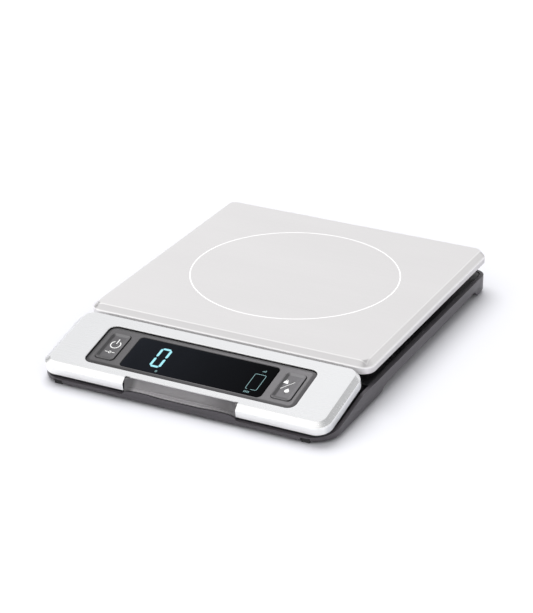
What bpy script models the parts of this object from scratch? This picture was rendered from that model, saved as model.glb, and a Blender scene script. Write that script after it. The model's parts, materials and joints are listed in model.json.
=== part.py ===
"""Flat digital scale with a square steel platform and a display head that pulls out at the front.

Metres, +Z up, +Y to the back. The origin is on the floor, under the middle of the whole object.
"""

import math

import bmesh
import bpy
from mathutils import Matrix, Vector

# Driving dimensions ---------------------------------------------------------------------------------

GAP = 0.0003
CUT_MARGIN = 0.005

PLATFORM_SIZE = 0.200
PLATFORM_TOP = 0.0275
PLATFORM_CORNER = 0.009
PLATFORM_CHAMFER = 0.0038
PLATFORM_HEIGHT = 0.00825
SHEET = 0.0008

BASE_HALF_WIDTH = 0.1018
BASE_FRONT = -0.1312
BASE_BACK = 0.1246
BASE_BOTTOM = 0.0009
BASE_BOTTOM_CHAMFER = 0.0014
BASE_FLOOR = 0.0035
BASE_WALL = 0.0025
RIM_TOP = 0.0129
RIM_FRONT_TOP = 0.0037
RIM_SLOPE_START = -0.0809
BASE_FRONT_CORNER = 0.018
BASE_BACK_CORNER = 0.008

PLATFORM_Y = 0.0312
PLATFORM_FRONT = PLATFORM_Y - PLATFORM_SIZE / 2

HEAD_TILT = math.radians(12.47)
HEAD_PLANE_Z = PLATFORM_TOP - 0.0004
HEAD_HALF_WIDTH = 0.09955
HEAD_BACK_S = 0.0054
HEAD_FRONT_S = 0.06423
HEAD_CORNER = 0.010
HEAD_CHAMFER_RUN = 0.00387
HEAD_CHAMFER_DROP = 0.0025
HEAD_RIM = 0.0078

WINDOW_HALF_WIDTH = 0.0734
WINDOW_BACK_S = 0.0150
WINDOW_FRONT_S = 0.0542
WINDOW_CORNER = 0.0055
LENS_HALF_WIDTH = 0.0494
LENS_BACK_S = 0.0198
LENS_FRONT_S = 0.0507
LENS_CORNER = 0.003
KEY_CENTRE_X = 0.0616
KEY_WIDTH = 0.0132
KEY_BACK_S = 0.0221
KEY_FRONT_S = 0.0480
KEY_CORNER = 0.0024
KEY_DISH_RUN = 0.0017
KEY_DISH_DEPTH = 0.0006
KEY_TRAVEL = 0.0006

NOTCH_HALF_WIDTH = 0.0392
SCOOP_FRONT = -0.1294
SCOOP_BACK = -0.1208
SCOOP_BOTTOM = 0.0078
DISH_FLAT_HALF = 0.0270
DISH_HALF_WIDTH = 0.0388
DISH_CENTRE_Y = -0.1330
DISH_CENTRE_Z = 0.0175
DISH_REACH = 0.0120
DISH_DEPTH = 0.0096
HUMP_PROFILE = (
    (0.0402, 0.0034),
    (0.0393, 0.0040),
    (0.0387, 0.0050),
    (0.0378, 0.0058),
    (0.0362, 0.0065),
    (0.0342, 0.0070),
    (0.0320, 0.0073),
    (0.0300, 0.0074),
    (0.0228, 0.0074),
    (0.0205, 0.0072),
    (0.0180, 0.0067),
    (0.0155, 0.0063),
    (0.0130, 0.0062),
)

SHELL_HALF_WIDTH = 0.0980
SHELL_BACK = -0.0734
SHELL_FRONT = -0.1279
SHELL_BOTTOM = 0.0062
SHELL_MIDDLE_BOTTOM = 0.0077
SHELL_WALL = 0.0014
SHELL_FLOOR = 0.0011
SHELL_BAND = 0.0010
BEZEL_INSET = 0.0004

ARM_X = 0.0680
ARM_WIDTH = 0.0126
ARM_BOTTOM = 0.0077
ARM_THICKNESS = 0.0020
ARM_FRONT = -0.1160
ARM_BACK = 0.0443
HEAD_TRAVEL = 0.100

RAIL_FRONT = -0.0660
RAIL_BACK = 0.0500
RAIL_WIDTH = 0.018
RAIL_TOP = 0.0110

DECK_TOP = 0.0127
DECK_SHEET = 0.0015
PLATEAU_TOP = 0.0176
PLATEAU_HALF_WIDTH = 0.080
PLATEAU_FRONT = -0.0450
PLATEAU_BACK = 0.1160

ARCH_DEPTH = 0.0155
ARCH_TOP = 0.0054
ARCH_FRONT = -0.0550
ARCH_BACK = 0.1098
ARCH_PROFILE = (
    (-0.0550, 0.0009),
    (-0.0535, 0.0018),
    (-0.0510, 0.0032),
    (-0.0485, 0.0045),
    (-0.0460, 0.0052),
    (-0.0435, 0.0054),
    (0.0860, 0.0054),
    (0.0940, 0.0057),
    (0.0990, 0.0062),
    (0.1022, 0.0062),
    (0.1045, 0.0052),
    (0.1062, 0.0036),
    (0.1078, 0.0020),
    (0.1098, 0.0009),
)

CELL_DIAMETER = 0.0105
CELL_LENGTH = 0.0445
CELL_PITCH = 0.0112
BATTERY_Y = 0.0870
BATTERY_HALF_LENGTH = 0.0265
BATTERY_HALF_WIDTH = 0.0262
CELL_Z = 0.0092
DOOR_BOTTOM = 0.0011
DOOR_TOP = 0.0029

LOAD_CELL_LENGTH = 0.060
LOAD_CELL_WIDTH = 0.012
LOAD_CELL_BOTTOM = 0.0060
LOAD_CELL_HEIGHT = 0.0080
LOAD_CELL_END = 0.0235

FRAME_BOTTOM = 0.0186
FRAME_TOP = 0.0206
FRAME_HALF_WIDTH = 0.078
PAD_X = 0.068
PAD_RADIUS = 0.007
LINER_TOP = 0.0264
LINER_HALF_WIDTH = 0.0955

SIDES = 24

# Scene and materials --------------------------------------------------------------------------------

for old in list(bpy.data.objects):
    bpy.data.objects.remove(old, do_unlink=True)

parts = bpy.data.collections.new("pull_out_display_scale")
cutters = bpy.data.collections.new("cutters")
bpy.context.scene.collection.children.link(parts)
bpy.context.scene.collection.children.link(cutters)
cutters.hide_render = True


def make_material(name, colour, roughness, metallic=0.0):
    material = bpy.data.materials.new(name)
    material.use_nodes = True
    shader = material.node_tree.nodes["Principled BSDF"]
    shader.inputs["Base Color"].default_value = (*colour, 1.0)
    shader.inputs["Roughness"].default_value = roughness
    shader.inputs["Metallic"].default_value = metallic
    return material


STEEL = make_material("brushed_steel", (0.78, 0.78, 0.77), 0.32, 1.0)
ARM_STEEL = make_material("plated_steel", (0.62, 0.62, 0.62), 0.35, 1.0)
ALUMINIUM = make_material("machined_aluminium", (0.72, 0.72, 0.73), 0.40, 1.0)
BASE_PLASTIC = make_material("base_plastic", (0.15, 0.145, 0.155), 0.45)
PANEL_PLASTIC = make_material("panel_plastic", (0.20, 0.195, 0.20), 0.42)
KEY_PLASTIC = make_material("key_plastic", (0.23, 0.225, 0.235), 0.38)
DARK_PLASTIC = make_material("dark_plastic", (0.02, 0.02, 0.022), 0.30)
PALE_PLASTIC = make_material("pale_plastic", (0.55, 0.55, 0.55), 0.50)
LENS = make_material("smoked_lens", (0.01, 0.01, 0.012), 0.06)
RUBBER = make_material("black_rubber", (0.02, 0.02, 0.02), 0.80)
BOARD = make_material("circuit_board", (0.03, 0.16, 0.07), 0.45)
SILICONE = make_material("white_silicone", (0.80, 0.80, 0.78), 0.55)
CABLE = make_material("cable_jacket", (0.50, 0.50, 0.50), 0.50)
RED_WIRE = make_material("red_wire", (0.50, 0.02, 0.02), 0.45)
CELL_JACKET = make_material("cell_jacket", (0.30, 0.32, 0.34), 0.35)

# Modelling helpers ----------------------------------------------------------------------------------


def add_object(name, mesh, material=None, parent=None):
    """Links a mesh as a part, or as a cutter when it has no material."""
    obj = bpy.data.objects.new(name, mesh)
    if material is None:
        cutters.objects.link(obj)
        obj.hide_render = True
        obj.display_type = "WIRE"
    else:
        parts.objects.link(obj)
        mesh.materials.append(material)
    obj.parent = parent
    return obj


def mesh_from(name, bm, smooth=False):
    bmesh.ops.recalc_face_normals(bm, faces=bm.faces)
    mesh = bpy.data.meshes.new(name)
    bm.to_mesh(mesh)
    bm.free()
    if smooth:
        mesh.shade_smooth()
        mesh.set_sharp_from_angle(angle=math.radians(35))
    return mesh


def box_bmesh(low, high):
    """A closed box between two opposite corners."""
    low, high = Vector(low), Vector(high)
    bm = bmesh.new()
    size = high - low
    matrix = Matrix.Translation((low + high) / 2) @ Matrix.Diagonal((*size, 1.0))
    bmesh.ops.create_cube(bm, size=1.0, matrix=matrix)
    return bm


def upright_edges(bm, test=None):
    """The edges that run along Z, filtered by a test on their midpoint."""
    found = []
    for edge in bm.edges:
        a, b = edge.verts[0].co, edge.verts[1].co
        if abs(a.x - b.x) < 1e-6 and abs(a.y - b.y) < 1e-6:
            if test is None or test((a + b) / 2):
                found.append(edge)
    return found


def round_upright(bm, radius, segments=5, test=None):
    bmesh.ops.bevel(
        bm,
        geom=upright_edges(bm, test),
        offset=radius,
        offset_type="OFFSET",
        segments=segments,
        profile=0.5,
        affect="EDGES",
    )


def add_box(name, low, high, material=None, parent=None, radius=0.0, segments=5):
    bm = box_bmesh(low, high)
    if radius > 0.0:
        round_upright(bm, radius, segments)
    return add_object(name, mesh_from(name, bm), material, parent)


def add_cylinder(name, centre, radius, depth, material=None, parent=None, axis="Z", sides=SIDES):
    """A closed cylinder about its centre, along X, Y or Z."""
    turn = {
        "X": Matrix.Rotation(math.pi / 2, 4, "Y"),
        "Y": Matrix.Rotation(math.pi / 2, 4, "X"),
        "Z": Matrix.Identity(4),
    }[axis]
    bm = bmesh.new()
    bmesh.ops.create_cone(
        bm,
        cap_ends=True,
        segments=sides,
        radius1=radius,
        radius2=radius,
        depth=depth,
        matrix=Matrix.Translation(centre) @ turn,
    )
    return add_object(name, mesh_from(name, bm, smooth=True), material, parent)


def extrude_profile(name, points, low, high, axis, material=None):
    """A closed block: a flat outline pushed from low to high along X or Y."""
    bm = bmesh.new()
    verts = []
    for a, b in points:
        place = (low, a, b) if axis == "X" else (a, low, b)
        verts.append(bm.verts.new(place))
    face = bm.faces.new(verts)
    moved = bmesh.ops.extrude_face_region(bm, geom=[face])
    for item in moved["geom"]:
        if isinstance(item, bmesh.types.BMVert):
            if axis == "X":
                item.co.x = high
            else:
                item.co.y = high
    return add_object(name, mesh_from(name, bm), material)


def boolean(target, other, operation):
    modifier = target.modifiers.new(f"{operation.lower()}_{other.name}", "BOOLEAN")
    modifier.operation = operation
    modifier.solver = "EXACT"
    modifier.object = other


def cut(target, *others):
    for other in others:
        boolean(target, other, "DIFFERENCE")


def unite(target, *others):
    for other in others:
        boolean(target, other, "UNION")


def pressed_cover(name, low, high, corner, chamfer_run, chamfer_drop, material, parent=None):
    """A sheet cover, open below: rounded corners, upright rim, sloped chamfer and a flat top."""
    bm = box_bmesh(low, high)
    round_upright(bm, corner, segments=7)
    bottom = [face for face in bm.faces if face.normal.z < -0.9]
    bmesh.ops.delete(bm, geom=bottom, context="FACES")
    top = [face for face in bm.faces if face.normal.z > 0.9]
    for vertex in top[0].verts:
        vertex.co.z -= chamfer_drop
    bmesh.ops.inset_region(
        bm, faces=top, thickness=chamfer_run, depth=0.0, use_even_offset=True
    )
    for vertex in top[0].verts:
        vertex.co.z = high[2]
    obj = add_object(name, mesh_from(name, bm), material, parent)
    solid = obj.modifiers.new("sheet", "SOLIDIFY")
    solid.thickness = SHEET
    solid.offset = -1.0
    solid.use_even_offset = True
    return obj


def tube(name, points, radius, material):
    """A wire or cable with filled caps, through points of a smooth route."""
    curve = bpy.data.curves.new(name, "CURVE")
    curve.dimensions = "3D"
    curve.bevel_depth = radius
    curve.bevel_resolution = 2
    curve.use_fill_caps = True
    spline = curve.splines.new("POLY")
    spline.points.add(len(points) - 1)
    for point, place in zip(spline.points, points):
        point.co = (*place, 1.0)
    obj = bpy.data.objects.new(name, curve)
    curve.materials.append(material)
    parts.objects.link(obj)
    return obj


def smooth_route(corners, steps):
    """Points along a Catmull-Rom curve through the corners of a route."""
    route = []
    padded = [corners[0], *corners, corners[-1]]
    for i in range(len(corners) - 1):
        p0, p1, p2, p3 = (Vector(padded[i + k]) for k in range(4))
        for k in range(steps):
            t = k / steps
            place = (
                2 * p1
                + (p2 - p0) * t
                + (2 * p0 - 5 * p1 + 4 * p2 - p3) * t ** 2
                + (3 * p1 - p0 - 3 * p2 + p3) * t ** 3
            ) / 2
            route.append(place)
    route.append(Vector(corners[-1]))
    return route


def screw(name, foot, shaft_length, head_radius, head_height, shaft_radius, up=True):
    """A screw with a hex socket: the head at its foot, the shaft above it or below it."""
    way = 1.0 if up else -1.0
    x, y, z = foot
    head = add_cylinder(
        name, (x, y, z + way * head_height / 2), head_radius, head_height, ARM_STEEL, sides=16
    )
    overlap = head_height / 2
    shaft = add_cylinder(
        f"{name}_shaft",
        (x, y, z + way * (head_height + (shaft_length - overlap) / 2)),
        shaft_radius,
        shaft_length + overlap,
        sides=12,
    )
    socket = add_cylinder(
        f"{name}_socket", (x, y, z), head_radius * 0.45, head_height, sides=6
    )
    unite(head, shaft)
    cut(head, socket)
    return head


# Platform -------------------------------------------------------------------------------------------


def make_platform():
    half = PLATFORM_SIZE / 2
    bottom = PLATFORM_TOP - PLATFORM_HEIGHT
    pressed_cover(
        "platform_tray",
        (-half, PLATFORM_Y - half, bottom),
        (half, PLATFORM_Y + half, PLATFORM_TOP),
        PLATFORM_CORNER,
        PLATFORM_CHAMFER,
        PLATFORM_CHAMFER,
        STEEL,
    )
    wide = LINER_HALF_WIDTH
    liner = add_box(
        "platform_liner",
        (-wide, PLATFORM_Y - wide, LINER_TOP - 0.0052),
        (wide, PLATFORM_Y + wide, LINER_TOP),
        PALE_PLASTIC,
        radius=0.006,
    )
    inside = wide - 0.002
    hollow = add_box(
        "liner_hollow",
        (-inside, PLATFORM_Y - inside, LINER_TOP - 0.0052 - CUT_MARGIN),
        (inside, PLATFORM_Y + inside, LINER_TOP - 0.0016),
        radius=0.004,
    )
    cut(liner, hollow)


def make_weighing_frame():
    half = FRAME_HALF_WIDTH
    frame = add_box(
        "weighing_frame",
        (-half, PLATFORM_Y - half, FRAME_BOTTOM),
        (half, PLATFORM_Y + half, FRAME_TOP),
        DARK_PLASTIC,
        radius=0.010,
    )
    for i, (sx, sy) in enumerate(((-1, -1), (1, -1), (-1, 1), (1, 1))):
        centre_x = sx * 0.0400
        centre_y = PLATFORM_Y + sy * 0.0400
        reach = 0.0125
        window = add_box(
            f"frame_window_{i + 1}",
            (centre_x - reach, centre_y - reach, FRAME_BOTTOM - CUT_MARGIN),
            (centre_x + reach, centre_y + reach, FRAME_TOP + CUT_MARGIN),
            radius=0.005,
            segments=3,
        )
        cut(frame, window)
    pad_bottom = FRAME_TOP + GAP
    pad_top = LINER_TOP - 0.0016 - GAP
    for i, (sx, sy) in enumerate(((-1, -1), (1, -1), (-1, 1), (1, 1))):
        add_cylinder(
            f"platform_pad_{i + 1}",
            (sx * PAD_X, PLATFORM_Y + sy * PAD_X, (pad_bottom + pad_top) / 2),
            PAD_RADIUS,
            pad_top - pad_bottom,
            RUBBER,
            sides=20,
        )


# Load cell ------------------------------------------------------------------------------------------


def make_load_cell():
    half = LOAD_CELL_LENGTH / 2
    side = LOAD_CELL_WIDTH / 2
    bottom = LOAD_CELL_BOTTOM
    top = bottom + LOAD_CELL_HEIGHT
    middle = (bottom + top) / 2
    beam = add_box(
        "load_cell",
        (-half, PLATFORM_Y - side, bottom),
        (half, PLATFORM_Y + side, top),
        ALUMINIUM,
    )
    for i, x in enumerate((-0.0065, 0.0065)):
        bore = add_cylinder(
            f"flexure_bore_{i + 1}", (x, PLATFORM_Y, middle), 0.0032, 0.03, axis="Y", sides=20
        )
        cut(beam, bore)
    slot = add_box(
        "flexure_slot",
        (-0.0065, PLATFORM_Y - 0.02, middle - 0.001),
        (0.0065, PLATFORM_Y + 0.02, middle + 0.001),
    )
    cut(beam, slot)
    fixed_hole = add_cylinder(
        "fixed_hole", (-LOAD_CELL_END, PLATFORM_Y, middle), 0.0019, 0.02, sides=16
    )
    live_hole = add_cylinder(
        "live_hole", (LOAD_CELL_END, PLATFORM_Y, middle), 0.0019, 0.02, sides=16
    )
    cut(beam, fixed_hole, live_hole)

    fixed = add_box(
        "load_cell_spacer_fixed",
        (-half, PLATFORM_Y - side, BASE_FLOOR + GAP),
        (-LOAD_CELL_END + 0.005, PLATFORM_Y + side, bottom - GAP),
        ALUMINIUM,
    )
    cut(fixed, fixed_hole)
    live = add_box(
        "load_cell_spacer_live",
        (LOAD_CELL_END - 0.005, PLATFORM_Y - side, top + GAP),
        (half, PLATFORM_Y + side, FRAME_BOTTOM - GAP),
        ALUMINIUM,
    )
    cut(live, live_hole)
    screw(
        "load_cell_screw_fixed",
        (-LOAD_CELL_END, PLATFORM_Y, top + GAP + 0.0018),
        0.0090,
        0.0030,
        0.0018,
        0.0015,
        up=False,
    )
    screw(
        "load_cell_screw_live",
        (LOAD_CELL_END, PLATFORM_Y, bottom - GAP - 0.0018),
        0.0100,
        0.0030,
        0.0018,
        0.0015,
    )
    add_box(
        "load_cell_gauge",
        (-0.011, PLATFORM_Y - 0.0042, top + GAP),
        (0.011, PLATFORM_Y + 0.0042, top + GAP + 0.0008),
        SILICONE,
        radius=0.002,
        segments=3,
    )
    route = (
        (0.0125, PLATFORM_Y, top + 0.0012),
        (0.0125, PLATFORM_Y - 0.0060, top + 0.0013),
        (0.0125, PLATFORM_Y - 0.0090, top - 0.0002),
        (0.0125, PLATFORM_Y - 0.0104, 0.0100),
        (0.0120, PLATFORM_Y - 0.0220, 0.0058),
        (0.0100, PLATFORM_Y - 0.0350, 0.0061),
        (0.0100, PLATFORM_Y - 0.0420, 0.0061),
    )
    tube("load_cell_cable", smooth_route(route, 4), 0.0008, CABLE)


# Base -----------------------------------------------------------------------------------------------


def rim_slope():
    return math.atan2(RIM_TOP - RIM_FRONT_TOP, RIM_SLOPE_START - BASE_FRONT)


def make_base_outline(name, inset, low_z, high_z, material=None, chamfer=0.0):
    """The base's plan shape as an upright block, inset evenly, its lower edge cut back at the sides."""
    bm = box_bmesh(
        (-BASE_HALF_WIDTH + inset, BASE_FRONT + inset, low_z),
        (BASE_HALF_WIDTH - inset, BASE_BACK - inset, high_z),
    )
    round_upright(bm, BASE_BACK_CORNER - inset, 5, test=lambda middle: middle.y > 0.0)
    front = BASE_FRONT + 0.02
    round_upright(bm, BASE_FRONT_CORNER - inset, 9, test=lambda middle: middle.y < front)
    if chamfer > 0.0:
        lower = [
            edge
            for edge in bm.edges
            if max(abs(vert.co.z - low_z) for vert in edge.verts) < 1e-6
            and max(vert.co.y for vert in edge.verts) > BASE_FRONT + 1e-5
        ]
        bmesh.ops.bevel(
            bm,
            geom=lower,
            offset=chamfer,
            offset_type="OFFSET",
            segments=2,
            profile=0.5,
            affect="EDGES",
        )
    return add_object(name, mesh_from(name, bm), material)


def make_arch_cutter(side):
    """The finger arch in one side wall, with an S-shaped run up to its roof at each end."""
    outer = side * (BASE_HALF_WIDTH + CUT_MARGIN)
    inner = side * (BASE_HALF_WIDTH - ARCH_DEPTH)
    outline = [(ARCH_FRONT, -CUT_MARGIN), *ARCH_PROFILE, (ARCH_BACK, -CUT_MARGIN)]
    return extrude_profile(f"arch_{side}", outline, inner, outer, "X")


def make_base_tub():
    tub = make_base_outline(
        "base_tub", 0.0, BASE_BOTTOM, RIM_TOP, BASE_PLASTIC, BASE_BOTTOM_CHAMFER
    )

    top_cut = box_bmesh((-0.2, -0.1, 0.0), (0.2, 0.0, 0.05))
    top_cutter = add_object("rim_slope_cutter", mesh_from("rim_slope_cutter", top_cut))
    top_cutter.location = (0.0, RIM_SLOPE_START, RIM_TOP)
    top_cutter.rotation_euler = (rim_slope(), 0.0, 0.0)
    cut(tub, top_cutter)

    cavity = make_base_outline("tub_cavity", BASE_WALL, BASE_FLOOR, 0.05)
    cut(tub, cavity)

    half_hump = list(HUMP_PROFILE)
    outline = [(-half_hump[0][0], BASE_BOTTOM + 0.001)]
    outline += [(-x, z) for x, z in half_hump]
    outline += [(x, z) for x, z in reversed(half_hump)]
    outline += [(half_hump[0][0], BASE_BOTTOM + 0.001)]
    hump = extrude_profile(
        "scoop_hump", outline, BASE_FRONT + 0.0001, BASE_FRONT + BASE_WALL - 0.0001, "Y"
    )
    unite(tub, hump)

    for side in (-1, 1):
        inner = BASE_HALF_WIDTH - ARCH_DEPTH - 0.002
        outer = BASE_HALF_WIDTH - BASE_WALL / 2
        low_x, high_x = sorted((side * inner, side * outer))
        roof = add_box(
            f"arch_roof_{side}",
            (low_x, ARCH_FRONT - 0.002, BASE_FLOOR - 0.001),
            (high_x, ARCH_BACK + 0.0012, ARCH_TOP + 0.0024),
        )
        unite(tub, roof)
        cut(tub, make_arch_cutter(side))

    boss_places = [(sx * 0.092, y) for sx in (-1, 1) for y in (-0.064, 0.1155)]
    for i, (x, y) in enumerate(boss_places):
        boss = add_cylinder(
            f"case_boss_{i + 1}", (x, y, 0.0070), 0.0040, 0.0076, sides=16
        )
        hole = add_cylinder(f"case_hole_{i + 1}", (x, y, 0.008), 0.0016, 0.03, sides=12)
        recess = add_cylinder(
            f"case_recess_{i + 1}", (x, y, BASE_BOTTOM), 0.0031, 0.0040, sides=16
        )
        unite(tub, boss)
        cut(tub, hole, recess)
        screw(
            f"case_screw_{i + 1}",
            (x, y, BASE_BOTTOM + 0.0001),
            0.0070,
            0.0027,
            0.0015,
            0.0012,
        )

    bay = add_box(
        "battery_bay",
        (-BATTERY_HALF_WIDTH, BATTERY_Y - BATTERY_HALF_LENGTH, -CUT_MARGIN),
        (BATTERY_HALF_WIDTH, BATTERY_Y + BATTERY_HALF_LENGTH, BASE_FLOOR + CUT_MARGIN),
        radius=0.0004,
        segments=2,
    )
    cut(tub, bay)

    for side in (-1, 1):
        notch = add_box(
            f"front_notch_{side}",
            (side * 0.086 - 0.003, BASE_FRONT - CUT_MARGIN, -CUT_MARGIN),
            (side * 0.086 + 0.003, BASE_FRONT + 0.0150, 0.0029),
        )
        tab_room = add_box(
            f"front_tab_room_{side}",
            (side * 0.086 - 0.003, BASE_FRONT - CUT_MARGIN, -CUT_MARGIN),
            (side * 0.086 + 0.003, BASE_FRONT + BASE_WALL + 0.0005, 0.0031),
        )
        socket = add_cylinder(
            f"rear_foot_socket_{side}", (side * 0.076, 0.1100, 0.0), 0.0064, 0.0052, sides=20
        )
        cut(tub, notch, tab_room, socket)
    return tub


def make_feet():
    for side, word in ((-1, "left"), (1, "right")):
        x = side * 0.086
        pad = add_box(
            f"front_foot_{word}",
            (x - 0.0027, BASE_FRONT + 0.0010, 0.0),
            (x + 0.0027, BASE_FRONT + 0.0147, 0.0026),
            RUBBER,
        )
        tab = add_box(
            f"front_foot_tab_{word}",
            (x - 0.0027, BASE_FRONT + 0.0010, 0.001),
            (x + 0.0027, BASE_FRONT + BASE_WALL, 0.0028),
        )
        unite(pad, tab)
        add_cylinder(
            f"rear_foot_{word}", (side * 0.076, 0.1100, 0.00115), 0.0061, 0.0023, RUBBER, sides=20
        )


def make_base_deck():
    inset = BASE_WALL + 0.0005
    deck = make_base_outline("base_deck", inset, DECK_TOP - DECK_SHEET, DECK_TOP, DARK_PLASTIC)
    front_cut = add_box(
        "deck_front_cut",
        (-0.2, -0.2, 0.0),
        (0.2, PLATFORM_FRONT + 0.0012, 0.05),
    )
    cut(deck, front_cut)
    wide = PLATEAU_HALF_WIDTH
    plateau = add_box(
        "deck_plateau",
        (-wide, PLATEAU_FRONT, DECK_TOP - DECK_SHEET / 2),
        (wide, PLATEAU_BACK, PLATEAU_TOP),
        radius=0.006,
    )
    unite(deck, plateau)
    inside = wide - DECK_SHEET
    pocket = add_box(
        "plateau_pocket",
        (-inside, PLATEAU_FRONT + DECK_SHEET, 0.0),
        (inside, PLATEAU_BACK - DECK_SHEET, PLATEAU_TOP - 0.0012),
        radius=0.0045,
    )
    cut(deck, pocket)
    window = add_box(
        "load_window",
        (LOAD_CELL_END - 0.008, PLATFORM_Y - 0.009, 0.0),
        (LOAD_CELL_LENGTH / 2 + 0.003, PLATFORM_Y + 0.009, 0.03),
        radius=0.002,
        segments=3,
    )
    cut(deck, window)
    return deck


def make_guide_rail(side, word):
    half = RAIL_WIDTH / 2
    x = side * ARM_X
    rail = add_box(
        f"guide_rail_{word}",
        (x - half, RAIL_FRONT, BASE_FLOOR + GAP),
        (x + half, RAIL_BACK, RAIL_TOP),
        PALE_PLASTIC,
    )
    reach = ARM_WIDTH / 2 + GAP
    channel = add_box(
        f"rail_channel_{word}",
        (x - reach, RAIL_FRONT - CUT_MARGIN, ARM_BOTTOM - GAP),
        (x + reach, RAIL_BACK + CUT_MARGIN, ARM_BOTTOM + ARM_THICKNESS + GAP),
    )
    slot = add_box(
        f"rail_slot_{word}",
        (x - 0.0035, RAIL_FRONT + 0.008, ARM_BOTTOM + ARM_THICKNESS),
        (x + 0.0035, RAIL_BACK + CUT_MARGIN, RAIL_TOP + CUT_MARGIN),
    )
    hollow = add_box(
        f"rail_hollow_{word}",
        (x - half + 0.0015, RAIL_FRONT + 0.0015, 0.0),
        (x + half - 0.0015, RAIL_BACK - 0.0015, ARM_BOTTOM - GAP - 0.0012),
    )
    cut(rail, channel, slot, hollow)
    return rail


# Electronics in the base ----------------------------------------------------------------------------


def make_main_board():
    bottom = BASE_FLOOR + GAP
    add_box(
        "main_pcb", (-0.030, -0.044, bottom), (0.030, -0.008, bottom + 0.0012), BOARD
    )
    top = bottom + 0.0012 + GAP
    add_box(
        "main_controller_chip", (-0.022, -0.030, top), (-0.010, -0.018, top + 0.0016), DARK_PLASTIC
    )
    add_box(
        "base_ribbon_socket", (-0.010, -0.0422, top), (0.010, -0.0372, top + 0.0058), PALE_PLASTIC
    )


def make_battery_pack():
    wide = BATTERY_HALF_WIDTH - 0.0008
    half = BATTERY_HALF_LENGTH - 0.0008
    low = DOOR_TOP + GAP
    holder = add_box(
        "battery_holder",
        (-wide, BATTERY_Y - half, low),
        (wide, BATTERY_Y + half, 0.0153),
        DARK_PLASTIC,
    )
    cell_room = 0.0238
    hollow = add_box(
        "holder_hollow",
        (-wide + 0.0012, BATTERY_Y - cell_room, 0.0),
        (wide - 0.0012, BATTERY_Y + cell_room, CELL_Z + CELL_DIAMETER / 2 + 0.0002),
    )
    cut(holder, hollow)
    for i in range(4):
        x = (i - 1.5) * CELL_PITCH
        way = 1 if i % 2 else -1
        cell = add_cylinder(
            f"battery_cell_{i + 1}",
            (x, BATTERY_Y - way * 0.0006, CELL_Z),
            CELL_DIAMETER / 2,
            CELL_LENGTH - 0.0012,
            CELL_JACKET,
            axis="Y",
            sides=20,
        )
        button = add_cylinder(
            f"cell_button_{i + 1}",
            (x, BATTERY_Y + way * (CELL_LENGTH / 2 - 0.001), CELL_Z),
            0.0019,
            0.0022,
            axis="Y",
            sides=12,
        )
        unite(cell, button)
    for word, way in (("front", -1), ("back", 1)):
        y = BATTERY_Y + way * (CELL_LENGTH / 2 + 0.0008)
        add_box(
            f"battery_contact_{word}",
            (-0.0215, y - 0.0002, CELL_Z - 0.0035),
            (0.0215, y + 0.0002, CELL_Z + 0.0035),
            ARM_STEEL,
        )
    front = BATTERY_Y - BATTERY_HALF_LENGTH
    for name, x, material in (
        ("battery_wire_red", 0.024, RED_WIRE),
        ("battery_wire_black", 0.0265, DARK_PLASTIC),
    ):
        route = (
            (x, front - 0.0008, 0.0060),
            (x + 0.010, front - 0.010, 0.0048),
            (x + 0.016, front - 0.040, 0.0048),
            (x + 0.012, -0.0100, 0.0058),
            (x + 0.0040, -0.0180, 0.0062),
        )
        tube(name, smooth_route(route, 4), 0.0006, material)


def make_battery_door():
    """The door's origin is on its hinge, at the back edge of the bay."""
    hinge_y = BATTERY_Y + BATTERY_HALF_LENGTH - 0.0013
    hinge_z = (DOOR_BOTTOM + DOOR_TOP) / 2
    wide = BATTERY_HALF_WIDTH - GAP
    back = 0.0006
    length = 2 * BATTERY_HALF_LENGTH - 0.0013 - GAP
    door = add_box(
        "battery_door",
        (-wide, -length, DOOR_BOTTOM - hinge_z),
        (wide, back, DOOR_TOP - hinge_z),
        BASE_PLASTIC,
    )
    door.location = (0.0, hinge_y, hinge_z)
    grip = add_cylinder(
        "door_thumb_grip", (0.0, -length + 0.004, DOOR_BOTTOM - hinge_z), 0.0060, 0.0016, sides=20
    )
    grip.parent = door
    cut(door, grip)
    return door


# Display head ---------------------------------------------------------------------------------------


def make_head_plane():
    """An empty whose XY plane is the head's sloping face: local -Y runs down the slope."""
    plane = bpy.data.objects.new("head_plane", None)
    parts.objects.link(plane)
    plane.location = (0.0, PLATFORM_FRONT, HEAD_PLANE_Z)
    plane.rotation_euler = (HEAD_TILT, 0.0, 0.0)
    return plane


def make_head_bezel(plane):
    bezel = pressed_cover(
        "head_bezel",
        (-HEAD_HALF_WIDTH, -HEAD_FRONT_S, -HEAD_RIM),
        (HEAD_HALF_WIDTH, -HEAD_BACK_S, 0.0),
        HEAD_CORNER,
        HEAD_CHAMFER_RUN,
        HEAD_CHAMFER_DROP,
        STEEL,
        plane,
    )
    window = add_box(
        "bezel_window",
        (-WINDOW_HALF_WIDTH, -WINDOW_FRONT_S, -0.01),
        (WINDOW_HALF_WIDTH, -WINDOW_BACK_S, 0.01),
        parent=plane,
        radius=WINDOW_CORNER,
    )
    notch = add_box(
        "bezel_notch",
        (-NOTCH_HALF_WIDTH, -HEAD_FRONT_S - CUT_MARGIN, -0.02),
        (NOTCH_HALF_WIDTH, -HEAD_FRONT_S + HEAD_CHAMFER_RUN, 0.01),
        parent=plane,
    )
    cut(bezel, window, notch)
    return bezel


def key_opening(name, side, grow, low_z, high_z, parent):
    half = KEY_WIDTH / 2 + grow
    return add_box(
        name,
        (side * KEY_CENTRE_X - half, -KEY_FRONT_S - grow, low_z),
        (side * KEY_CENTRE_X + half, -KEY_BACK_S + grow, high_z),
        parent=parent,
        radius=KEY_CORNER,
        segments=3,
    )


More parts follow.
